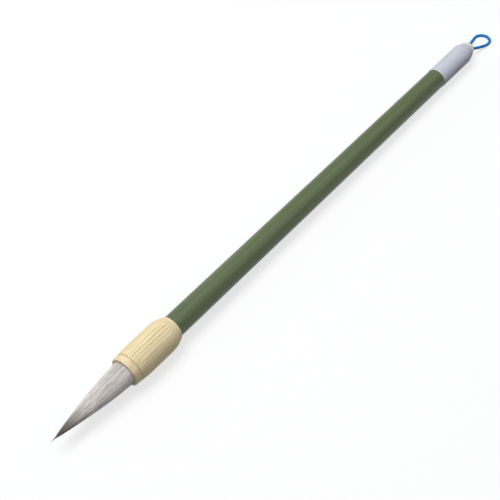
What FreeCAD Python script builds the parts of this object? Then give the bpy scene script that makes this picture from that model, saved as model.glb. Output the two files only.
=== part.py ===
import FreeCAD, Part
import math
import os
from FreeCAD import Vector

os.makedirs("parts", exist_ok=True)

# Calligraphy brush, in millimetres. Every piece is drawn on the brush's own axis first: stations run
# along X from the tip of the hair (0) to the end of the cap, and radii are measured from that axis.
# The brush then lies down on z = 0, as it would on a table, with its origin under its middle.

# Lengths along the brush
TOTAL_LENGTH = 274.0
MOUTH = 35.7
GROOVE = 38.1
FERRULE_END = 61.05
LABEL_START = 244.6
LABEL_END = 271.1
HANDLE_START = 52.6
HANDLE_END = 265.0
CAP_SHOULDER = 267.8

# Radii
HAIR_MOUTH_RADIUS = 4.92
FERRULE_RADIUS = 6.68
FERRULE_NECK_RADIUS = 6.36
HANDLE_RADIUS = 4.70
HANDLE_BORE_RADIUS = 2.60
CAP_END_RADIUS = 3.2
CORD_DIAMETER = 1.40

# Fits and walls
GLUE_GAP = 0.05
LABEL_GLUE = 0.02
HAIR_GAP = 0.12
PAPER = 0.12
SOCKET_CLEAR = 0.10
HANDLE_LEAD = 0.30

# The lip of the mouth ring
LIP_REACH = 0.40
LIP_STEPS = 3
LIP_TOP = 6.14
RING_BACK_RADIUS = 6.30
RING_BORE_RADIUS = 5.04
SPIGOT_RADIUS = 5.62
SPIGOT_LENGTH = 1.45
EDGE_BREAK = 0.16

# The fluted cup: its swell behind the ring, its domed shoulder and its two sockets
SWELL_END = 43.0
DOME_START = 54.6
DOME_END = 60.7
DOME_END_RADIUS = 5.05
HAIR_SOCKET_RADIUS = 5.20
HAIR_SOCKET_BOTTOM = 50.0
DOME_STEPS = 2
FLUTES = 28
FLUTE_WIDTH = 0.46
FLUTE_DEPTH = 0.29

# The hair bundle: two arcs of its free outline, the bare length of its core and its bound root
HAIR_POINT_ARC = ((0.0, 0.06), (5.0, 1.10), (12.5, 2.36))
HAIR_BELLY_ARC = ((12.5, 2.36), (23.0, 3.89), (MOUTH, HAIR_MOUTH_RADIUS))
CORE_BARE = 9.0
CORE_STEPS = 3
COVER_START = 10.6
COVER_STEPS = 4
HAIR_ROOT = 48.6
HAIR_NECK_START = 44.9
HAIR_NECK_RADIUS = 4.55
SEAL_THICKNESS = 1.1
BINDING_WIDTH = 3.0
BINDING_SETBACK = 0.30
BINDING_CLEAR = 0.06

# The cap: its spigot in the handle, the cord's hole and the chamber for the knot
SPIGOT_BACK = 256.5
CAP_SPIGOT_RADIUS = HANDLE_BORE_RADIUS - GLUE_GAP
CORD_HOLE_RADIUS = 1.50
CHAMBER_RADIUS = 2.00
CHAMBER_FRONT = 264.2
HOLE_FLARE = 0.55
CAP_EDGE = 0.35
KNOT_CENTRE = 261.9
KNOT_RADIUS = 1.85
KNOT_LENGTH = 4.0
LEG_OFFSET = 0.72
LEG_END = TOTAL_LENGTH - 0.95

# The hanging loop, as the corners of the line that it follows once the brush lies down: each leg leaves
# the cap's hole, droops to the table and lies flat on it, round to the middle of the bow.
LOOP_LEG = [
    (136.45, 0.74, 4.80),
    (146.90, 3.15, 0.76),
    (152.95, 4.15, 0.76),
]
LOOP_BOW = (155.80, 0.0, 0.76)


def lines(*points):
    """Straight edges through a few points of that half plane."""
    spots = [Vector(x, r, 0) for x, r in points]
    return [Part.LineSegment(a, b).toShape() for a, b in zip(spots, spots[1:])]


def turned(points):
    """A solid of revolution about the brush's axis from its outline, which closes on its first point."""
    face = Part.Face(Part.Wire(lines(*points, points[0])))
    return Part.makeSolid(face.revolve(Vector(0, 0, 0), Vector(1, 0, 0), 360).Shells[0])


def stations(start, end, steps):
    """Evenly spaced stations from start to end, both included."""
    return [start + (end - start) * step / steps for step in range(steps + 1)]


def hair_radius(station):
    """The free hair's radius at a station: one arc makes the point and a longer one the belly."""
    spots = HAIR_POINT_ARC if station < HAIR_POINT_ARC[2][0] else HAIR_BELLY_ARC
    circle = Part.Arc(*[Vector(x, r, 0) for x, r in spots]).toShape().Curve
    return circle.Center.y + math.sqrt(circle.Radius ** 2 - (station - circle.Center.x) ** 2)


def cup_radius(station):
    """The cup's outer radius: a slight swell behind the ring, a straight middle and a round dome."""
    if station < SWELL_END:
        share = (SWELL_END - station) / (SWELL_END - GROOVE)
        return FERRULE_RADIUS - (FERRULE_RADIUS - FERRULE_NECK_RADIUS) * share
    if station < DOME_START:
        return FERRULE_RADIUS
    run = DOME_END - DOME_START
    drop = FERRULE_RADIUS - DOME_END_RADIUS
    radius = (run ** 2 + drop ** 2) / (2 * drop)
    return FERRULE_RADIUS - radius + math.sqrt(radius ** 2 - (station - DOME_START) ** 2)


def make_flute():
    """The space of one flute: a straight V that runs out on the swell in front and on the dome behind."""
    bottom = Vector(GROOVE, 0, FERRULE_RADIUS - FLUTE_DEPTH)
    side = Vector(0, FLUTE_WIDTH, 2 * FLUTE_DEPTH)
    other_side = Vector(0, -FLUTE_WIDTH, 2 * FLUTE_DEPTH)
    section = Part.Face(Part.makePolygon([bottom, bottom + side, bottom + other_side, bottom]))
    return section.extrude(Vector(DOME_END - GROOVE, 0, 0))


def make_ferrule_cup():
    """The turned cup: hair socket, web, handle socket, domed shoulder and flutes all round."""
    spigot_front = GROOVE - SPIGOT_LENGTH
    handle_socket = HANDLE_RADIUS + GLUE_GAP
    bends = [GROOVE + EDGE_BREAK, SWELL_END] + stations(DOME_START, DOME_END, DOME_STEPS)
    cup = turned(
        [(station, cup_radius(station)) for station in bends]
        + [
            (FERRULE_END, DOME_END_RADIUS - EDGE_BREAK),
            (FERRULE_END, handle_socket),
            (HANDLE_START - SOCKET_CLEAR, handle_socket),
            (HANDLE_START - SOCKET_CLEAR, 0),
            (HAIR_SOCKET_BOTTOM, 0),
            (HAIR_SOCKET_BOTTOM, HAIR_SOCKET_RADIUS),
            (spigot_front, HAIR_SOCKET_RADIUS),
            (spigot_front, SPIGOT_RADIUS - GLUE_GAP),
            (GROOVE, SPIGOT_RADIUS - GLUE_GAP),
            (GROOVE, FERRULE_NECK_RADIUS - EDGE_BREAK),
        ]
    )
    flute = make_flute()
    step = 360.0 / FLUTES
    cutters = []
    for number in range(FLUTES):
        cutter = flute.copy()
        cutter.rotate(Vector(0, 0, 0), Vector(1, 0, 0), step * (number + 0.5))
        cutters.append(cutter)
    return cup.cut(Part.makeCompound(cutters)).Solids[0]


def make_mouth_ring():
    """The plain ring at the mouth: a rounded lip in front, a counterbore on the cup's spigot behind."""
    counterbore = GROOVE - SPIGOT_LENGTH - SOCKET_CLEAR
    half_wall = (LIP_TOP - RING_BORE_RADIUS) / 2
    lip = []
    for turn in stations(0, math.pi, LIP_STEPS):
        station = MOUTH - LIP_REACH * math.sin(turn)
        lip.append((station, RING_BORE_RADIUS + half_wall * (1 - math.cos(turn))))
    return turned(
        lip
        + [
            (GROOVE - EDGE_BREAK, RING_BACK_RADIUS),
            (GROOVE, RING_BACK_RADIUS - EDGE_BREAK),
            (GROOVE, SPIGOT_RADIUS),
            (counterbore, SPIGOT_RADIUS),
            (counterbore, RING_BORE_RADIUS),
        ]
    )


def make_handle_tube():
    """The lacquered tube, plain and straight, open at both ends."""
    return turned(
        [
            (HANDLE_START, HANDLE_BORE_RADIUS),
            (HANDLE_START, HANDLE_RADIUS - HANDLE_LEAD),
            (HANDLE_START + HANDLE_LEAD, HANDLE_RADIUS),
            (HANDLE_END, HANDLE_RADIUS),
            (HANDLE_END, HANDLE_BORE_RADIUS),
        ]
    )


def make_core_hair():
    """The springy core: it makes the dark point of the tuft and runs back to the root."""
    outline = [(station, hair_radius(station)) for station in stations(0, CORE_BARE, CORE_STEPS)]
    return turned(outline + [(HAIR_ROOT, hair_radius(CORE_BARE)), (HAIR_ROOT, 0), (0, 0)])


def make_cover_hair():
    """The white hair round the core: its free belly, then the stretch in the socket, bound at its root."""
    bore = hair_radius(CORE_BARE) + HAIR_GAP
    outline = [(station, hair_radius(station)) for station in stations(COVER_START, MOUTH, COVER_STEPS)]
    return turned(
        outline
        + [
            (HAIR_NECK_START, HAIR_MOUTH_RADIUS),
            (HAIR_NECK_START, HAIR_NECK_RADIUS),
            (HAIR_ROOT, HAIR_NECK_RADIUS),
            (HAIR_ROOT, bore),
            (COVER_START, bore),
        ]
    )


def make_root_binding():
    """The thread that is wound round the root of the hair, inside the socket."""
    back = HAIR_ROOT - BINDING_SETBACK
    inner = HAIR_NECK_RADIUS + HAIR_GAP
    outer = HAIR_SOCKET_RADIUS - BINDING_CLEAR
    front = back - BINDING_WIDTH
    return turned([(front, inner), (front, outer), (back, outer), (back, inner)])


def make_rosin_seal():
    """The set disc that joins the cut ends of the hair at the bottom of the socket."""
    front = HAIR_ROOT + HAIR_GAP
    back = front + SEAL_THICKNESS
    rim = HAIR_SOCKET_RADIUS - BINDING_CLEAR
    return turned([(front, 0), (front, rim), (back, rim), (back, 0)])


def cap_taper_radius(station):
    """The cap's outer radius on its taper, a straight cone from shoulder to end."""
    share = (station - CAP_SHOULDER) / (TOTAL_LENGTH - CAP_SHOULDER)
    return HANDLE_RADIUS + share * (CAP_END_RADIUS - HANDLE_RADIUS)


def make_tail_cap():
    """The moulded cap: spigot in the tube, tapered head, hole for the cord, chamber for its knot."""
    edge_start = TOTAL_LENGTH - CAP_EDGE
    return turned(
        [
            (HANDLE_END, CAP_SPIGOT_RADIUS),
            (HANDLE_END, HANDLE_RADIUS),
            (CAP_SHOULDER, HANDLE_RADIUS),
            (edge_start, cap_taper_radius(edge_start)),
            (TOTAL_LENGTH, CAP_END_RADIUS - CAP_EDGE),
            (TOTAL_LENGTH, CORD_HOLE_RADIUS + HOLE_FLARE),
            (TOTAL_LENGTH - HOLE_FLARE, CORD_HOLE_RADIUS),
            (CHAMBER_FRONT, CORD_HOLE_RADIUS),
            (CHAMBER_FRONT, CHAMBER_RADIUS),
            (SPIGOT_BACK, CHAMBER_RADIUS),
            (SPIGOT_BACK, CAP_SPIGOT_RADIUS),
        ]
    )


def make_cord_knot():
    """The knot that keeps the cord in the cap, with the cord's two legs in the hole."""
    along = Vector(1, 0, 0)
    start = KNOT_CENTRE - KNOT_LENGTH / 2
    leg_length = LEG_END - KNOT_CENTRE
    knot = Part.makeCylinder(KNOT_RADIUS, KNOT_LENGTH, Vector(start, 0, 0), along)
    for side in (LEG_OFFSET, -LEG_OFFSET):
        leg = Part.makeCylinder(CORD_DIAMETER / 2, leg_length, Vector(KNOT_CENTRE, side, 0), along)
        knot = knot.fuse(leg)
    return knot.removeSplitter().Solids[0]


def make_paper_label():
    """The plain wrapper: a thin sleeve round the end of the handle and most of the cap's taper."""
    inner = HANDLE_RADIUS + LABEL_GLUE
    outer = inner + PAPER
    end_inner = cap_taper_radius(LABEL_END) + LABEL_GLUE
    return turned(
        [
            (LABEL_START, inner),
            (LABEL_START, outer),
            (CAP_SHOULDER, outer),
            (LABEL_END, end_inner + PAPER),
            (LABEL_END, end_inner),
            (CAP_SHOULDER, inner),
        ]
    )


def lay_down(shape):
    """Lay a piece on the table: turn it so that cup and label both touch, and centre it."""
    rear_radius = HANDLE_RADIUS + LABEL_GLUE + PAPER
    slope = math.asin((FERRULE_RADIUS - rear_radius) / (CAP_SHOULDER - DOME_START))
    reach = TOTAL_LENGTH * math.cos(slope) + (CAP_END_RADIUS - CAP_EDGE) * math.sin(slope)
    height = FERRULE_RADIUS * math.cos(slope) + DOME_START * math.sin(slope)
    placed = shape.copy()
    placed.rotate(Vector(0, 0, 0), Vector(0, 1, 0), math.degrees(slope))
    placed.translate(Vector(-reach / 2, 0, height))
    return placed


def loop_route():
    """The loop's points from one end to the other."""
    near = [Vector(*point) for point in LOOP_LEG]
    far = [Vector(x, -y, z) for x, y, z in reversed(LOOP_LEG)]
    return near + [Vector(*LOOP_BOW)] + far


def make_hanging_loop():
    """The cord's free loop: a round tube along straight runs joined by tangent arcs."""
    route = loop_route()
    edges = []
    last = route[0]
    for before, corner, after in zip(route, route[1:], route[2:]):
        back = (before - corner).normalize()
        ahead = (after - corner).normalize()
        turn = math.pi - back.getAngle(ahead)
        trim = 0.45 * min((before - corner).Length, (after - corner).Length)
        radius = trim / math.tan(turn / 2)
        print("loop bend radius", round(radius, 2), "turn", round(math.degrees(turn), 1))
        start = corner + back * trim
        end = corner + ahead * trim
        inwards = (back + ahead).normalize()
        centre = corner + inwards * (radius / math.cos(turn / 2))
        middle = centre - inwards * radius
        edges.append(Part.LineSegment(last, start).toShape())
        edges.append(Part.Arc(start, middle, end).toShape())
        last = end
    edges.append(Part.LineSegment(last, route[-1]).toShape())
    path = Part.Wire(edges)
    direction = (route[1] - route[0]).normalize()
    section = Part.Wire([Part.Circle(route[0], direction, CORD_DIAMETER / 2).toShape()])
    tube = path.makePipeShell([section], True, False)
    area = math.pi * CORD_DIAMETER ** 2 / 4
    print("loop length", round(path.Length, 2), "volume", round(tube.Volume, 2),
          "section times length", round(area * path.Length, 2))
    return Part.makeSolid(tube.Shells[0])


pieces = {
    "handle_tube": lay_down(make_handle_tube()),
    "ferrule_cup": lay_down(make_ferrule_cup()),
    "mouth_ring": lay_down(make_mouth_ring()),
    "cover_hair": lay_down(make_cover_hair()),
    "core_hair": lay_down(make_core_hair()),
    "root_binding": lay_down(make_root_binding()),
    "rosin_seal": lay_down(make_rosin_seal()),
    "tail_cap": lay_down(make_tail_cap()),
    "cord_knot": lay_down(make_cord_knot()),
    "paper_label": lay_down(make_paper_label()),
    "hanging_loop": make_hanging_loop(),
}

for name, shape in pieces.items():
    assert shape.isValid() and len(shape.Solids) == 1, name
    box = shape.BoundBox
    print(name, "volume", round(shape.Volume, 1), "x", round(box.XMin, 2), round(box.XMax, 2),
          "z", round(box.ZMin, 3), round(box.ZMax, 3))
    shape.exportStep("parts/" + name + ".step")
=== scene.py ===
import math
import random
import bmesh
import bpy
from mathutils import Matrix, Vector


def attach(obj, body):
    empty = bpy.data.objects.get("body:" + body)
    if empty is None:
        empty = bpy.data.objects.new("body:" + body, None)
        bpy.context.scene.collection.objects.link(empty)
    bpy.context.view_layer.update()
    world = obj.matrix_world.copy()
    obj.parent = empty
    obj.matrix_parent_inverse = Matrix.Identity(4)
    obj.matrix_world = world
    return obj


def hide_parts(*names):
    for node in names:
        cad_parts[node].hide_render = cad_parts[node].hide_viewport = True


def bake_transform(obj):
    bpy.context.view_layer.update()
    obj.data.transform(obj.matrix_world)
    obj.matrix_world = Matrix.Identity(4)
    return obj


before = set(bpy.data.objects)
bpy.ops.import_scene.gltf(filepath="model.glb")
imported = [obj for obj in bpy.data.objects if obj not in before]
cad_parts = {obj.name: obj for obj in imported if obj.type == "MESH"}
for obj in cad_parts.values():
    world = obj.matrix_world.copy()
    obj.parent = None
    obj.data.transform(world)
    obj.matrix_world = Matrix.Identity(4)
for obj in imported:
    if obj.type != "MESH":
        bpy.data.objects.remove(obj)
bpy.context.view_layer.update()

# A calligraphy brush. Its turned pieces are drawn on the brush's own axis in millimetres, with stations
# along X from the tip of the hair and radii from that axis. LAY_DOWN then puts them on the table in metres.

# Stations and radii of the solid parts
TOTAL_LENGTH = 274.0
MOUTH = 35.7
GROOVE = 38.1
SWELL_END = 43.0
DOME_START = 54.6
DOME_END = 60.7
FERRULE_END = 61.05
HANDLE_START = 52.6
HANDLE_END = 265.0
LABEL_START = 244.6
CAP_SHOULDER = 267.8
LABEL_END = 271.1
HAIR_MOUTH_RADIUS = 4.92
RING_BORE_RADIUS = 5.04
LIP_TOP = 6.14
RING_BACK_RADIUS = 6.30
CUP_NECK_RADIUS = 6.36
CUP_RADIUS = 6.68
DOME_END_RADIUS = 5.05
FLUTES = 28
HANDLE_RADIUS = 4.70
CAP_END_RADIUS = 3.2
CAP_EDGE = 0.35
CORD_HOLE_RADIUS = 1.50
HOLE_FLARE = 0.55
CORD_DIAMETER = 1.40
LABEL_GLUE = 0.02
PAPER = 0.12

# The free hair's outline, two arcs through three points each
HAIR_POINT_ARC = ((0.0, 0.06), (5.0, 1.10), (12.5, 2.36))
HAIR_BELLY_ARC = ((12.5, 2.36), (23.0, 3.89), (MOUTH, HAIR_MOUTH_RADIUS))

# The tone of the tuft where no single hair covers it, from 0 for the pale colour to 1 for the dark one
# painted shade: the body under the single hairs is a little darker than the average hair
BODY_SHADE_TONE = 0.35

# How the brush lies: cup and label both touch the table, and the brush is centred over the origin
REAR_RADIUS = HANDLE_RADIUS + LABEL_GLUE + PAPER
SLOPE = math.asin((CUP_RADIUS - REAR_RADIUS) / (CAP_SHOULDER - DOME_START))
REACH = TOTAL_LENGTH * math.cos(SLOPE) + (CAP_END_RADIUS - CAP_EDGE) * math.sin(SLOPE)
HEIGHT = CUP_RADIUS * math.cos(SLOPE) + DOME_START * math.sin(SLOPE)
MILLIMETRE = 0.001
LAY_DOWN = (
    Matrix.Scale(MILLIMETRE, 4)
    @ Matrix.Translation((-REACH / 2, 0, HEIGHT))
    @ Matrix.Rotation(SLOPE, 4, "Y")
)

# The corners of the hanging loop's route in metres: one leg from the cap's hole, then the middle of the bow
LOOP_LEG = [
    (0.13645, 0.00074, 0.00480),
    (0.14690, 0.00315, 0.00076),
    (0.15295, 0.00415, 0.00076),
]
LOOP_BOW = (0.15580, 0.0, 0.00076)

# The camera of the photograph
CAMERA_PLACE = (-0.2274, -0.1609, 0.3081)
CAMERA_AHEAD = Vector((0.50219, 0.40940, -0.76175))
CAMERA_UP = Vector((0.59554, 0.47499, 0.64791))
LENS = 72.0
SENSOR = 36.0

chance = random.Random(7)


def colour(red, green, blue):
    """A colour as it looks on screen, from 0 to 255, as the linear value that a shader takes."""
    levels = []
    for level in (red, green, blue):
        share = level / 255
        levels.append(share / 12.92 if share < 0.04045 else ((share + 0.055) / 1.055) ** 2.4)
    return (*levels, 1.0)


# The camera
camera_data = bpy.data.cameras.new("camera")
camera_data.lens = LENS
camera_data.sensor_width = SENSOR
camera_data.clip_start = 0.01
camera = bpy.data.objects.new("camera", camera_data)
bpy.context.scene.collection.objects.link(camera)
camera_side = CAMERA_AHEAD.cross(CAMERA_UP).normalized()
camera_axes = Matrix((camera_side, CAMERA_UP, -CAMERA_AHEAD)).transposed().to_4x4()
camera.matrix_world = Matrix.Translation(CAMERA_PLACE) @ camera_axes
bpy.context.scene.camera = camera


class Socket:
    """A shader value that adds its Math nodes when it is used in an expression."""

    def __init__(self, finish, socket):
        self.finish = finish
        self.socket = socket

    def maths(self, operation, first, second=0.0):
        return self.finish.node("ShaderNodeMath", {"operation": operation}, {0: first, 1: second})

    def __add__(self, other):
        return self.maths("ADD", self, other)

    __radd__ = __add__

    def __sub__(self, other):
        return self.maths("SUBTRACT", self, other)

    def __rsub__(self, other):
        return self.maths("SUBTRACT", other, self)

    def __mul__(self, other):
        return self.maths("MULTIPLY", self, other)

    __rmul__ = __mul__


class Finish:
    """A material under construction: its nodes, and its Principled shader at the end."""

    def __init__(self, name):
        self.material = bpy.data.materials.new(name)
        self.material.use_nodes = True
        self.tree = self.material.node_tree
        self.shader = self.tree.nodes["Principled BSDF"]

    def feed(self, socket, value):
        """Link a value to a socket, or set it."""
        if isinstance(value, Socket):
            self.tree.links.new(value.socket, socket)
        else:
            socket.default_value = value

    def node(self, kind, settings, sockets, output=0):
        """Add a node with its settings, then the values or links of its sockets, and give one output."""
        node = self.tree.nodes.new(kind)
        for name, value in settings.items():
            setattr(node, name, value)
        for key, value in sockets.items():
            self.feed(node.inputs[key], value)
        return Socket(self, node.outputs[output])

    def blend(self, share, first, second):
        """One colour turning into another."""
        return self.node("ShaderNodeMix", {"data_type": "RGBA"}, {0: share, 6: first, 7: second}, 2)

    def between(self, value, low, high):
        """How far a value has come from low to high, smoothly, from 0 to 1."""
        settings = {"interpolation_type": "SMOOTHSTEP"}
        return self.node("ShaderNodeMapRange", settings, {0: value, 1: low, 2: high, 3: 0.0, 4: 1.0})

    def noise(self, place, scale, detail=2.0, roughness=0.5):
        """Soft noise at a place, from 0 to 1."""
        sockets = {"Vector": place, "Scale": scale, "Detail": detail, "Roughness": roughness}
        return self.node("ShaderNodeTexNoise", {}, sockets)

    def attribute(self, name):
        """A number that the mesh carries at its points."""
        return self.node("ShaderNodeAttribute", {"attribute_name": name}, {}, "Fac")

    def brush_place(self, stretch=(1.0, 1.0, 1.0)):
        """The surface's place on the brush's own axis in millimetres, each direction times its stretch."""
        place = self.node("ShaderNodeTexCoord", {}, {}, "Object")
        back = LAY_DOWN.inverted()
        upright = {"Vector": place, "Location": back.to_translation(), "Rotation": (0.0, -SLOPE, 0.0),
                   "Scale": (1 / MILLIMETRE,) * 3}
        straight = self.node("ShaderNodeMapping", {"vector_type": "POINT"}, upright)
        return self.node("ShaderNodeVectorMath", {"operation": "MULTIPLY"}, {0: straight, 1: stretch})

    def parts(self, place):
        """The three numbers of a place."""
        node = self.node("ShaderNodeSeparateXYZ", {}, {0: place}).socket.node
        return [Socket(self, output) for output in node.outputs]

    def bump(self, height, distance, strength=1.0):
        """A normal from a height map whose full height is a distance in metres."""
        sockets = {"Height": height, "Distance": distance, "Strength": strength}
        return self.node("ShaderNodeBump", {}, sockets)

    def done(self, **sockets):
        """Feed the shader and give the material."""
        for name, value in sockets.items():
            self.feed(self.shader.inputs[name.replace("_", " ")], value)
        return self.material


def green_lacquer():
    """Satin green lacquer over a turned handle: faint lengthwise streaks, fine grain and a few scuffs."""
    finish = Finish("green_lacquer")
    streaks = finish.noise(finish.brush_place((0.035, 2.6, 2.6)), 1.0, 4.0, 0.62)
    clouds = finish.noise(finish.brush_place((0.02, 0.16, 0.16)), 1.0, 2.0)
    grain = finish.noise(finish.brush_place((0.5, 9.0, 9.0)), 1.0, 3.0, 0.6)
    tone = streaks * 0.62 + clouds * 0.38
    base = finish.blend(finish.between(tone, 0.34, 0.66), colour(86, 101, 67), colour(99, 114, 77))
    scuffs = finish.between(finish.noise(finish.brush_place((0.25, 1.4, 1.4)), 1.0, 6.0, 0.7), 0.66, 0.74)
    worn = finish.blend(scuffs * 0.2, base, colour(140, 150, 122))
    return finish.done(
        Base_Color=worn,
        Roughness=0.28 + grain * 0.10 + scuffs * 0.14,
        Normal=finish.bump(streaks * 0.7 + grain * 0.3, 0.00005, 0.3),
        Coat_Weight=0.10,
        Coat_Roughness=0.16,
    )


def pale_wood():
    """Pale straight-grained wood, milled into flutes: painted shade in the flute floors, fine pores along
    the grain, a painted highlight on the dome's end and rim, and painted shade by the groove.
    """
    finish = Finish("pale_wood")
    station = finish.parts(finish.brush_place())[0]
    grain = finish.noise(finish.brush_place((0.07, 3.2, 3.2)), 1.0, 5.0, 0.66)
    pores = finish.noise(finish.brush_place((0.12, 8.0, 8.0)), 1.0, 3.0, 0.6)
    flute = finish.attribute("flute")
    base = finish.blend(finish.between(grain, 0.36, 0.66), colour(252, 236, 195), colour(233, 208, 158))
    lined = finish.blend(finish.between(pores, 0.52, 0.66) * 0.55, base, colour(196, 168, 120))
    # painted shade: the wood is darker where the flutes are deepest
    flute_shaded = finish.blend(finish.between(flute, 0.0, 1.0) * 0.6, lined, colour(146, 120, 80))
    # painted highlight: the last half millimetre of the dome and its rim are lighter
    rim = finish.between(station, DOME_END - 0.5, DOME_END)
    edged = finish.blend(rim * 0.8, flute_shaded, colour(248, 242, 226))
    # painted shade: the cup is darker next to the groove
    groove_shade = finish.between(station, GROOVE + 0.34, GROOVE + 0.08)
    shaded = finish.blend(groove_shade * 0.5, edged, colour(190, 160, 108))
    return finish.done(
        Base_Color=shaded,
        Roughness=0.46 + pores * 0.16,
        Normal=finish.bump(grain * 0.5 + pores * 0.5, 0.00007, 0.5),
    )


def ring_wood():
    """The same wood on the ring: a little darker and smoother, with faint marks of turning and painted shade
    towards the groove.
    """
    finish = Finish("ring_wood")
    station = finish.parts(finish.brush_place())[0]
    clouds = finish.noise(finish.brush_place((0.5, 0.8, 0.8)), 1.0, 3.0)
    turning = finish.noise(finish.brush_place((9.0, 0.12, 0.12)), 1.0, 3.0, 0.6)
    fleck = finish.noise(finish.brush_place((1.2, 7.0, 7.0)), 1.0, 3.0, 0.6)
    base = finish.blend(finish.between(clouds, 0.35, 0.65), colour(244, 225, 184), colour(230, 208, 162))
    flecked = finish.blend(finish.between(fleck, 0.55, 0.75) * 0.35, base, colour(190, 160, 112))
    # painted shade: the ring is darker next to the groove
    groove_shade = finish.between(station, GROOVE - 0.42, GROOVE - 0.10)
    shaded = finish.blend(groove_shade * 0.5, flecked, colour(190, 160, 108))
    return finish.done(
        Base_Color=shaded,
        Roughness=0.40 + clouds * 0.12,
        Normal=finish.bump(turning, 0.00004, 0.35),
    )


def hair(name, pale, dark, stain, stain_start, stain_end):
    """Straight hair: each strand has its own tone, and a stain fades in between two stations."""
    finish = Finish(name)
    station = finish.parts(finish.brush_place())[0]
    tone = finish.attribute("tone")
    along = finish.noise(finish.brush_place((0.22, 5.0, 5.0)), 1.0, 3.0, 0.6)
    lock = finish.noise(finish.brush_place((0.05, 1.9, 1.9)), 1.0, 3.0, 0.6)
    mixed = tone * 0.30 + along * 0.20 + lock * 0.50
    base = finish.blend(finish.between(mixed, 0.30, 0.64), dark, pale)
    wandering = station + along * 5.0 + tone * 3.0 - 4.0
    stained = finish.blend(finish.between(wandering, stain_start, stain_end), base, stain)
    return finish.done(
        Base_Color=stained,
        Roughness=0.52 + along * 0.18,
        Normal=finish.bump(along, 0.00005, 0.4),
        Sheen_Weight=0.15,
    )


def ivory_plastic():
    """Moulded ivory plastic, satin, with a trace of cloudiness and fine handling marks."""
    finish = Finish("ivory_plastic")
    clouds = finish.noise(finish.brush_place((0.35, 0.35, 0.35)), 1.0, 3.0)
    marks = finish.noise(finish.brush_place((2.2, 6.0, 6.0)), 1.0, 4.0, 0.6)
    base = finish.blend(finish.between(clouds, 0.3, 0.7), colour(238, 236, 225), colour(230, 225, 208))
    return finish.done(
        Base_Color=base,
        Roughness=0.30 + marks * 0.16,
        Normal=finish.bump(marks, 0.00003, 0.25),
    )


def label_paper():
    """Plain cool white paper, matt, with fibres, a soft edge and a darker line where it laps."""
    finish = Finish("label_paper")
    station = finish.parts(finish.brush_place())[0]
    fibres = finish.noise(finish.brush_place((2.4, 2.4, 2.4)), 1.0, 6.0, 0.7)
    mottle = finish.noise(finish.brush_place((0.22, 0.3, 0.3)), 1.0, 3.0)
    base = finish.blend(finish.between(fibres, 0.35, 0.65), colour(196, 199, 211), colour(206, 209, 219))
    toned = finish.blend(finish.between(mottle, 0.45, 0.75) * 0.5, base, colour(188, 192, 205))
    cut_edge = finish.between(station, LABEL_START + 0.45, LABEL_START + 0.05)
    edged = finish.blend(cut_edge * 0.7, toned, colour(236, 236, 240))
    lap = finish.attribute("lap")
    lapped = finish.blend(lap * 0.45, edged, colour(150, 152, 164))
    return finish.done(
        Base_Color=lapped,
        Roughness=0.78 + fibres * 0.12,
        Normal=finish.bump(fibres, 0.00008, 0.4),
    )


def blue_cord(braided):
    """Deep blue cord with a soft shine: a fine braid that follows the cord, with painted shade in its
    valleys and painted highlight on its ridges, or plain fibres where hidden.
    """
    finish = Finish("blue_cord_braided" if braided else "blue_cord_plain")
    if braided:
        around, along, _ = finish.parts(finish.node("ShaderNodeUVMap", {"uv_map": "cord"}, {}))
        right = finish.node("ShaderNodeMath", {"operation": "PINGPONG"}, {0: along + around * 6.0, 1: 0.5})
        left = finish.node("ShaderNodeMath", {"operation": "PINGPONG"}, {0: along - around * 6.0, 1: 0.5})
        height = finish.node("ShaderNodeMath", {"operation": "MAXIMUM"}, {0: right, 1: left}) * 2.0
    else:
        height = finish.noise(finish.brush_place((1.0, 6.0, 6.0)), 1.0, 3.0)
    fuzz = finish.noise(finish.brush_place((3.0, 3.0, 3.0)), 1.0, 4.0, 0.6)
    # painted shade and highlight: on the braid the colour darkens in the valleys and lightens on the ridges,
    # mixed with random fuzz
    tone = finish.between(height * 0.6 + fuzz * 0.4, 0.25, 0.85)
    base = finish.blend(tone, colour(0, 102, 178), colour(0, 142, 224))
    return finish.done(
        Specular_IOR_Level=0.3,
        Base_Color=base,
        Roughness=0.52 + fuzz * 0.2,
        Normal=finish.bump(height * 0.8 + fuzz * 0.2, 0.00008, 0.55),
    )


def thread():
    """Wound cotton thread: its turns lie side by side round the root of the hair, with painted shade between
    the turns.
    """
    finish = Finish("thread")
    station, _, _ = finish.parts(finish.brush_place())
    turn_relief_and_shade = finish.node("ShaderNodeMath", {"operation": "PINGPONG"}, {0: station * 3.0, 1: 0.5}) * 2.0
    fuzz = finish.noise(finish.brush_place((4.0, 4.0, 4.0)), 1.0, 3.0)
    # painted shade: the thread is darker where one turn meets the next
    base = finish.blend(turn_relief_and_shade, colour(190, 182, 166), colour(226, 220, 206))
    return finish.done(Base_Color=base, Roughness=0.7 + fuzz * 0.2, Normal=finish.bump(turn_relief_and_shade, 0.0001, 0.7))


def rosin():
    """Set rosin: amber, glossy and a little cloudy."""
    finish = Finish("rosin")
    clouds = finish.noise(finish.brush_place((0.6, 0.6, 0.6)), 1.0, 3.0)
    base = finish.blend(finish.between(clouds, 0.3, 0.7), colour(120, 74, 30), colour(168, 112, 52))
    dents = finish.bump(clouds, 0.0002, 0.3)
    return finish.done(Base_Color=base, Roughness=0.22 + clouds * 0.2, Normal=dents)


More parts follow.
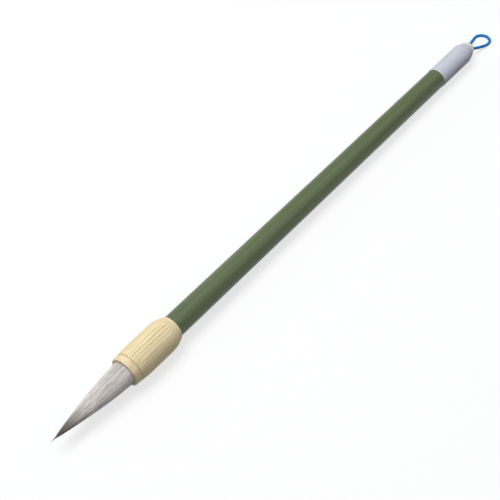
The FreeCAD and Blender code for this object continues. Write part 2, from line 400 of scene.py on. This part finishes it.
def arc_through(spots, station):
    """The radius at a station of the arc through three points of the outline."""
    (x1, r1), (x2, r2), (x3, r3) = spots
    turn = 2 * (x1 * (r2 - r3) + x2 * (r3 - r1) + x3 * (r1 - r2))
    squares = [x1 * x1 + r1 * r1, x2 * x2 + r2 * r2, x3 * x3 + r3 * r3]
    x = (squares[0] * (r2 - r3) + squares[1] * (r3 - r1) + squares[2] * (r1 - r2)) / turn
    r = (squares[0] * (x3 - x2) + squares[1] * (x1 - x3) + squares[2] * (x2 - x1)) / turn
    radius = math.hypot(x1 - x, r1 - r)
    return r + math.sqrt(radius ** 2 - (station - x) ** 2)


def hair_radius(station):
    """The free hair's radius at a station; behind the mouth it stays as it is there."""
    place = min(max(station, 0.0), MOUTH)
    return arc_through(HAIR_POINT_ARC if place < HAIR_POINT_ARC[2][0] else HAIR_BELLY_ARC, place)


def cup_radius(station):
    """The cup's outer radius: a slight swell behind the ring, a straight middle and a round dome."""
    if station < SWELL_END:
        share = (SWELL_END - station) / (SWELL_END - GROOVE)
        return CUP_RADIUS - (CUP_RADIUS - CUP_NECK_RADIUS) * share ** 1.5
    if station < DOME_START:
        return CUP_RADIUS
    run = DOME_END - DOME_START
    drop = CUP_RADIUS - DOME_END_RADIUS
    radius = (run ** 2 + drop ** 2) / (2 * drop)
    return CUP_RADIUS - radius + math.sqrt(radius ** 2 - (station - DOME_START) ** 2)


def cap_radius(station):
    """The cap's outer radius: a collar, then a straight taper."""
    share = max(0.0, station - CAP_SHOULDER) / (TOTAL_LENGTH - CAP_SHOULDER)
    return HANDLE_RADIUS + share * (CAP_END_RADIUS - HANDLE_RADIUS)


def stations(start, end, steps):
    """Evenly spaced numbers from start to end, both included."""
    return [start + (end - start) * step / steps for step in range(steps + 1)]


def corner(centre_x, centre_r, radius, start, end, steps=5):
    """Points on a small round corner, by the angles in degrees at which it starts and ends."""
    points = []
    for angle in stations(math.radians(start), math.radians(end), steps):
        points.append((centre_x + radius * math.cos(angle), centre_r + radius * math.sin(angle)))
    return points


def turned(outline, steps):
    """A mesh turned about the brush's axis from an outline of stations and radii."""
    mesh = bmesh.new()
    spots = [mesh.verts.new((x, 0.0, r)) for x, r in outline]
    edges = [mesh.edges.new(pair) for pair in zip(spots, spots[1:])]
    bmesh.ops.spin(
        mesh, geom=spots + edges, cent=(0, 0, 0), axis=(1, 0, 0), angle=math.tau, steps=steps, use_merge=True
    )
    bmesh.ops.remove_doubles(mesh, verts=mesh.verts, dist=1e-5)
    bmesh.ops.recalc_face_normals(mesh, faces=mesh.faces)
    return mesh


def piece(mesh, name, material):
    """Lay a mesh on the table as a smooth piece whose sharp edges stay sharp."""
    bmesh.ops.transform(mesh, matrix=LAY_DOWN, verts=mesh.verts)
    for face in mesh.faces:
        face.smooth = True
    for edge in mesh.edges:
        edge.smooth = edge.calc_face_angle(0.0) < math.radians(38)
    data = bpy.data.meshes.new(name)
    mesh.to_mesh(data)
    mesh.free()
    made = bpy.data.objects.new(name, data)
    bpy.context.scene.collection.objects.link(made)
    data.materials.append(material)
    return made


def make_handle():
    """The lacquered handle, very slightly uneven under its lacquer, with eased ends."""
    ease = 0.25
    unevenness = 0.0016
    outline = [(HANDLE_START, 0.0)]
    outline += corner(HANDLE_START + ease, HANDLE_RADIUS - ease, ease, 180, 90)
    outline += [(station, HANDLE_RADIUS) for station in stations(FERRULE_END - 1.0, HANDLE_END - 1.0, 60)]
    outline += corner(HANDLE_END - ease, HANDLE_RADIUS - ease, ease, 90, 0)
    outline.append((HANDLE_END, 0.0))
    mesh = turned(outline, 96)
    for vert in mesh.verts:
        angle = math.atan2(vert.co.y, vert.co.z)
        wave = math.sin(vert.co.x * 0.11 + 2 * angle) + math.sin(vert.co.x * 0.043 - 3 * angle + 1.3)
        shrink = 1 - unevenness * (1 + 0.5 * wave)
        vert.co.y *= shrink
        vert.co.z *= shrink
    made = piece(mesh, "handle_lacquered", green_lacquer())
    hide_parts("handle_tube")
    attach(made, "handle")


def make_ferrule():
    """The cup: fine V flutes all round, which run out on the swell and on the dome, and a round rim."""
    steps_per_flute = 20
    half_width = 0.19
    full_depth = 0.20
    flute_start, run_in = GROOVE + 0.25, 1.0
    flute_end, run_out = DOME_END - 0.5, 3.4
    groove_depth = 0.13
    rim = 0.17
    rim_start = DOME_END - 0.3
    socket_radius = HANDLE_RADIUS + 0.03
    flute_floor = HANDLE_RADIUS + 0.2
    outline = [
        (GROOVE + 0.25, RING_BORE_RADIUS),
        (GROOVE, RING_BORE_RADIUS),
        (GROOVE, CUP_NECK_RADIUS - groove_depth),
    ]
    outline += [(x, cup_radius(x)) for x in (GROOVE + 0.08, GROOVE + 0.20)]
    outline += [(x, cup_radius(x)) for x in stations(GROOVE + 0.5, DOME_START, 18)]
    outline += [(x, cup_radius(x)) for x in stations(DOME_START, rim_start, 12)[1:]]
    outline += corner(rim_start + rim, cup_radius(rim_start) - rim, rim, 62, -20)
    outline += [(FERRULE_END - 0.2, socket_radius), (DOME_START, socket_radius)]
    mesh = turned(outline, FLUTES * steps_per_flute)
    shares = mesh.verts.layers.float.new("flute")
    deeper = [chance.uniform(0.5, 1.1) for _ in range(FLUTES)]
    drifts = [chance.uniform(-0.06, 0.06) for _ in range(FLUTES)]
    for vert in mesh.verts:
        radius = math.hypot(vert.co.y, vert.co.z)
        from_ends = min((vert.co.x - flute_start) / run_in, (flute_end - vert.co.x) / run_out)
        reach = min(1.0, max(0.0, from_ends))
        if reach == 0 or radius < flute_floor:
            continue
        turn = (math.atan2(vert.co.y, vert.co.z) / math.tau) % 1.0 * FLUTES
        number = int(turn) % FLUTES
        off = abs(turn % 1.0 - 0.5 - drifts[number]) * math.tau * radius / FLUTES
        depth = full_depth * deeper[number] * reach ** 0.7 * max(0.0, 1 - off / half_width)
        vert[shares] = depth / full_depth
        vert.co.y *= 1 - depth / radius
        vert.co.z *= 1 - depth / radius
    made = piece(mesh, "ferrule_fluted", pale_wood())
    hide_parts("ferrule_cup")
    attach(made, "handle")


def make_mouth_ring():
    """The ring at the mouth: a soft-edged lip, a slight flare and an eased back edge."""
    front = MOUTH - 0.60
    inner_ease = 0.27
    outer_ease = 0.34
    back_ease = 0.16
    outline = [(GROOVE - 0.1, RING_BORE_RADIUS)]
    outline += corner(front + inner_ease, RING_BORE_RADIUS + inner_ease, inner_ease, 270, 180)
    outline += corner(front + outer_ease, LIP_TOP - outer_ease, outer_ease, 180, 96)
    outline += [(MOUTH + 0.6, LIP_TOP + 0.06), (MOUTH + 1.4, LIP_TOP + 0.13)]
    outline += corner(GROOVE - back_ease, RING_BACK_RADIUS - back_ease, back_ease, 90, 0)
    outline.append((GROOVE, RING_BORE_RADIUS))
    made = piece(turned(outline, 112), "mouth_ring_lipped", ring_wood())
    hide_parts("mouth_ring")
    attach(made, "handle")


def strands(name, count, root, ends, lift, sunk, thickness, swirl):
    """Thin tapering hairs along the tuft, as a mesh.

    They start at the station root and end between the two stations that ends gives, mostly at its third.
    Each lies above the tuft's outline by a height that lift gives, with its root sunk below that.
    """
    line = bpy.data.curves.new(name, "CURVE")
    line.dimensions = "3D"
    line.bevel_depth = 1.0
    line.bevel_resolution = 0
    points_each = 9
    closing = 0.02
    ripple = 0.012
    taper = 0.78
    for number in range(count):
        angle = math.tau * (number + chance.random()) / count
        end = chance.triangular(*ends)
        height = chance.uniform(*lift)
        turn = chance.gauss(0.0, swirl)
        wave = chance.uniform(0.0, math.tau)
        width = thickness * chance.uniform(0.7, 1.25)
        spline = line.splines.new("POLY")
        spline.points.add(points_each - 1)
        for index, point in enumerate(spline.points):
            share = index / (points_each - 1)
            station = root + (end - root) * share
            radius = hair_radius(station) * (1 - closing * share) + height * (1 - 0.3 * share)
            radius -= sunk * (1 - share) ** 1.5
            radius = max(radius, 0.03)
            heading = angle + turn * share ** 2 + ripple * math.sin(wave + 5 * share)
            point.co = (station, radius * math.sin(heading), radius * math.cos(heading), 1.0)
            point.radius = width * (1.0 - taper * share ** 3)
    holder = bpy.data.objects.new(name, line)
    bpy.context.scene.collection.objects.link(holder)
    mesh = bmesh.new()
    data = bpy.data.meshes.new_from_object(holder)
    mesh.from_mesh(data)
    bpy.data.objects.remove(holder)
    bpy.data.curves.remove(line)
    tones = mesh.verts.layers.float.new("tone")
    per_strand = len(mesh.verts) // count
    levels = [chance.random() for _ in range(count)]
    for index, vert in enumerate(mesh.verts):
        vert[tones] = levels[min(index // per_strand, count - 1)]
    return mesh


def bundle(outline, hairs):
    """The closed body of a bundle of hair together with its single hairs."""
    mesh = turned(outline, 96)
    tones = mesh.verts.layers.float.new("tone")
    for vert in mesh.verts:
        vert[tones] = BODY_SHADE_TONE
    body = bpy.data.meshes.new("bundle_body")
    mesh.to_mesh(body)
    mesh.free()
    hairs.from_mesh(body)
    return hairs


def make_white_hair():
    """The white mantle: a closed body in the ring, and hairs that end at different places near the point."""
    inside = 0.10
    thinning = 0.09
    point = 5.0
    full = 10.0
    back = MOUTH + 1.2
    outline = [(point, 0.0)]
    outline += [(x, hair_radius(x) - inside - thinning * (full - x)) for x in stations(point, full, 5)]
    outline += [(x, hair_radius(x) - inside) for x in stations(full + 2.0, back, 14)]
    outline.append((back, 0.0))
    hairs = strands(
        "white_hairs", 2400, root=MOUTH + 1.0, ends=(1.5, 11.0, 4.5),
        lift=(-0.10, 0.02), sunk=0.0, thickness=0.055, swirl=0.05,
    )
    material = hair(
        "white_hair", pale=colour(250, 242, 234), dark=colour(174, 171, 171),
        stain=colour(132, 117, 107), stain_start=17.5, stain_end=4.0,
    )
    made = piece(bundle(outline, hairs), "tuft_white", material)
    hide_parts("cover_hair")
    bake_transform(made)


def make_brown_hair():
    """The dark core: it fills the point of the tuft and disappears under the white hair."""
    inside = 0.10
    point = 0.6
    bare_end = 5.0
    back = 14.0
    outline = [(point, 0.0)]
    outline += [(x, max(0.02, hair_radius(x) - inside)) for x in stations(point, bare_end, 5)]
    outline += [(x, hair_radius(x) - below) for x, below in ((7.0, 0.37), (10.0, 0.75))]
    outline += [(back, 1.2), (back, 0.0)]
    hairs = strands(
        "brown_hairs", 620, root=13.0, ends=(-1.3, 4.5, 0.3),
        lift=(-0.12, -0.01), sunk=1.1, thickness=0.042, swirl=0.08,
    )
    material = hair(
        "brown_hair", pale=colour(168, 146, 132), dark=colour(100, 80, 68),
        stain=colour(158, 148, 142), stain_start=2.6, stain_end=0.8,
    )
    made = piece(bundle(outline, hairs), "tuft_brown", material)
    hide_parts("core_hair")
    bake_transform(made)


def make_tail_cap():
    """The ivory cap: collar, taper, round end and a flared hole for the cord."""
    edge = 0.30
    hole_start = CAP_SHOULDER - 6.0
    collar_start = HANDLE_END + 0.1
    outline = [(hole_start, CORD_HOLE_RADIUS), (TOTAL_LENGTH - HOLE_FLARE - 0.3, CORD_HOLE_RADIUS)]
    outline += corner(TOTAL_LENGTH - HOLE_FLARE, CORD_HOLE_RADIUS + HOLE_FLARE, HOLE_FLARE, 270, 360)
    outline += corner(TOTAL_LENGTH - edge, cap_radius(TOTAL_LENGTH) - edge, edge, 0, 74)
    outline += [(x, cap_radius(x)) for x in (TOTAL_LENGTH - 1.4, CAP_SHOULDER + 1.0, CAP_SHOULDER)]
    outline += [(collar_start, HANDLE_RADIUS), (collar_start, CORD_HOLE_RADIUS + 0.3)]
    made = piece(turned(outline, 96), "tail_cap_moulded", ivory_plastic())
    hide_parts("tail_cap")
    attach(made, "handle")


def make_label():
    """The paper wrapper, lapped over itself underneath and puckered where it is drawn in on the taper."""
    inner = LABEL_GLUE
    outer = LABEL_GLUE + PAPER - 0.02
    along = stations(LABEL_START + 0.03, CAP_SHOULDER, 16) + stations(CAP_SHOULDER, LABEL_END, 10)[1:]
    outline = [(x, cap_radius(x) + inner) for x in reversed(along)]
    outline += [(LABEL_START, HANDLE_RADIUS + (inner + outer) / 2)]
    outline += [(x, cap_radius(x) + outer) for x in along]
    outline.append(outline[0])
    mesh = turned(outline, 160)
    laps = mesh.verts.layers.float.new("lap")
    lap_angle = math.radians(232)
    lap_width = 0.035
    lap_height = 0.02
    lap_reach = 2.4
    pucker_height = 0.028
    for vert in mesh.verts:
        radius = math.hypot(vert.co.y, vert.co.z)
        if radius < cap_radius(vert.co.x) + (inner + outer) / 2:
            continue
        angle = math.atan2(vert.co.y, vert.co.z) % math.tau
        past = (angle - lap_angle) % math.tau
        step = lap_height * (1 - min(1.0, past / lap_reach))
        taper = min(1.0, max(0.0, (vert.co.x - CAP_SHOULDER) / 2.0))
        pucker = pucker_height * taper * (math.sin(11 * angle) + 0.7 * math.sin(17 * angle + 1.0))
        vert[laps] = math.exp(-((min(past, math.tau - past) / lap_width) ** 2))
        grow = 1 + (step + pucker) / radius
        vert.co.y *= grow
        vert.co.z *= grow
    made = piece(mesh, "label_wrapper", label_paper())
    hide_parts("paper_label")
    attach(made, "handle")


def smooth_route(corners):
    """Close points along the smooth line that has these corners as its control points."""
    line = bpy.data.curves.new("route", "CURVE")
    line.dimensions = "3D"
    line.resolution_u = 16
    spline = line.splines.new("NURBS")
    spline.points.add(len(corners) - 1)
    for point, place in zip(spline.points, corners):
        point.co = (*place, 1.0)
    spline.order_u = 3
    spline.use_endpoint_u = True
    holder = bpy.data.objects.new("route", line)
    bpy.context.scene.collection.objects.link(holder)
    data = bpy.data.meshes.new_from_object(holder)
    points = [vert.co.copy() for vert in data.vertices]
    bpy.data.objects.remove(holder)
    bpy.data.curves.remove(line)
    return points


def make_loop():
    """The hanging loop: a round braided cord that droops from the cap's hole and lies on the table."""
    corners = LOOP_LEG + [LOOP_BOW] + [(x, -y, z) for x, y, z in reversed(LOOP_LEG)]
    route = smooth_route(corners)
    sides = 20
    braid_pitch = 1.6
    mesh = bmesh.new()
    places = {}
    rings = []
    run = 0.0
    for number, spot in enumerate(route):
        before = route[max(number - 1, 0)]
        after = route[min(number + 1, len(route) - 1)]
        run += (spot - before).length
        ahead = (after - before).normalized()
        sideways = Vector((0, 0, 1)).cross(ahead).normalized()
        axes = Matrix((sideways, ahead.cross(sideways), ahead)).transposed().to_4x4()
        made = bmesh.ops.create_circle(
            mesh, segments=sides, radius=CORD_DIAMETER / 2 * MILLIMETRE,
            matrix=Matrix.Translation(spot) @ axes, cap_ends=number in (0, len(route) - 1),
        )
        for index, vert in enumerate(made["verts"]):
            places[vert] = (index / sides, run / (CORD_DIAMETER * MILLIMETRE))
        rings.append(list(made["verts"]))
    for near, far in zip(rings, rings[1:]):
        edges = set()
        for ring in (near, far):
            edges |= {edge for vert in ring for edge in vert.link_edges if edge.other_vert(vert) in ring}
        bmesh.ops.bridge_loops(mesh, edges=list(edges))
    bmesh.ops.recalc_face_normals(mesh, faces=mesh.faces)
    unwrapped = mesh.loops.layers.uv.new("cord")
    for face in mesh.faces:
        arounds = [places[loop.vert][0] for loop in face.loops]
        for loop, around in zip(face.loops, arounds):
            over = 1.0 if max(arounds) - around > 0.5 and len(arounds) == 4 else 0.0
            loop[unwrapped].uv = (around + over, places[loop.vert][1] * braid_pitch)
    bmesh.ops.transform(mesh, matrix=LAY_DOWN.inverted(), verts=mesh.verts)
    made = piece(mesh, "hanging_loop_braided", blue_cord(True))
    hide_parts("hanging_loop")
    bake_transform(made)


def finish_hidden_nodes():
    """Materials for the pieces inside the cup and the cap."""
    for name, material in (
        ("root_binding", thread()),
        ("rosin_seal", rosin()),
        ("cord_knot", blue_cord(False)),
    ):
        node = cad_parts[name]
        node.data.materials.clear()
        node.data.materials.append(material)


def make_floor():
    """A pale table top that keeps the brush's shadow."""
    mesh = bmesh.new()
    bmesh.ops.create_grid(mesh, x_segments=1, y_segments=1, size=3.0)
    data = bpy.data.meshes.new("floor")
    mesh.to_mesh(data)
    mesh.free()
    floor = bpy.data.objects.new("floor", data)
    bpy.context.scene.collection.objects.link(floor)
    finish = Finish("floor")
    white_share = 0.7
    rays = finish.node("ShaderNodeLightPath", {}, {}).socket.node.outputs
    seen = Socket(finish, rays["Is Camera Ray"])
    mirrored = Socket(finish, rays["Is Glossy Ray"])
    passed = Socket(finish, rays["Is Transmission Ray"])
    glow = finish.node("ShaderNodeEmission", {}, {"Color": (1, 1, 1, 1), "Strength": 1.0})
    top = finish.blend(seen, colour(132, 132, 132), colour(252, 252, 252))
    plain = finish.done(Base_Color=top, Roughness=0.9)
    lit = Socket(finish, finish.shader.outputs[0])
    white = (seen + mirrored + passed) * white_share
    mixed = finish.node("ShaderNodeMixShader", {}, {0: white, 1: lit, 2: glow})
    finish.feed(finish.tree.nodes["Material Output"].inputs["Surface"], mixed)
    data.materials.append(plain)


def add_lamp(name, place, aim, width, height, power):
    """A soft rectangular studio lamp."""
    data = bpy.data.lights.new(name, "AREA")
    data.shape = "RECTANGLE"
    data.size = width
    data.size_y = height
    data.energy = power
    lamp = bpy.data.objects.new(name, data)
    bpy.context.scene.collection.objects.link(lamp)
    lamp.location = place
    lamp.rotation_euler = (Vector(aim) - Vector(place)).to_track_quat("-Z", "Y").to_euler()


def light_the_scene():
    """A soft key overhead, a wide panel towards the camera, a side panel and a dim pale room."""
    middle = (0.0, 0.0, 0.0)
    add_lamp("key", (-0.12, 0.32, 1.05), middle, width=0.7, height=0.6, power=9.0)
    add_lamp("panel", (0.45, -0.32, 0.95), (0.45, -0.32, 0.0), width=1.6, height=1.2, power=3.0)
    add_lamp("side", (0.10, 1.25, 0.50), middle, width=1.4, height=0.7, power=1.8)
    world = bpy.data.worlds.new("room")
    world.use_nodes = True
    bpy.context.scene.world = world
    tree = world.node_tree
    room = tree.nodes["Background"]
    room.inputs["Color"].default_value = (0.90, 0.95, 1.0, 1.0)
    room.inputs["Strength"].default_value = 0.22
    behind = tree.nodes.new("ShaderNodeBackground")
    behind.inputs["Color"].default_value = (1.0, 1.0, 1.0, 1.0)
    rays = tree.nodes.new("ShaderNodeLightPath")
    mixed = tree.nodes.new("ShaderNodeMixShader")
    tree.links.new(rays.outputs["Is Camera Ray"], mixed.inputs[0])
    tree.links.new(room.outputs[0], mixed.inputs[1])
    tree.links.new(behind.outputs[0], mixed.inputs[2])
    tree.links.new(mixed.outputs[0], tree.nodes["World Output"].inputs["Surface"])
    bpy.context.scene.view_settings.view_transform = "Standard"


make_loop()
make_handle()
make_ferrule()
make_mouth_ring()
make_white_hair()
make_brown_hair()
make_tail_cap()
make_label()
finish_hidden_nodes()
make_floor()
light_the_scene()
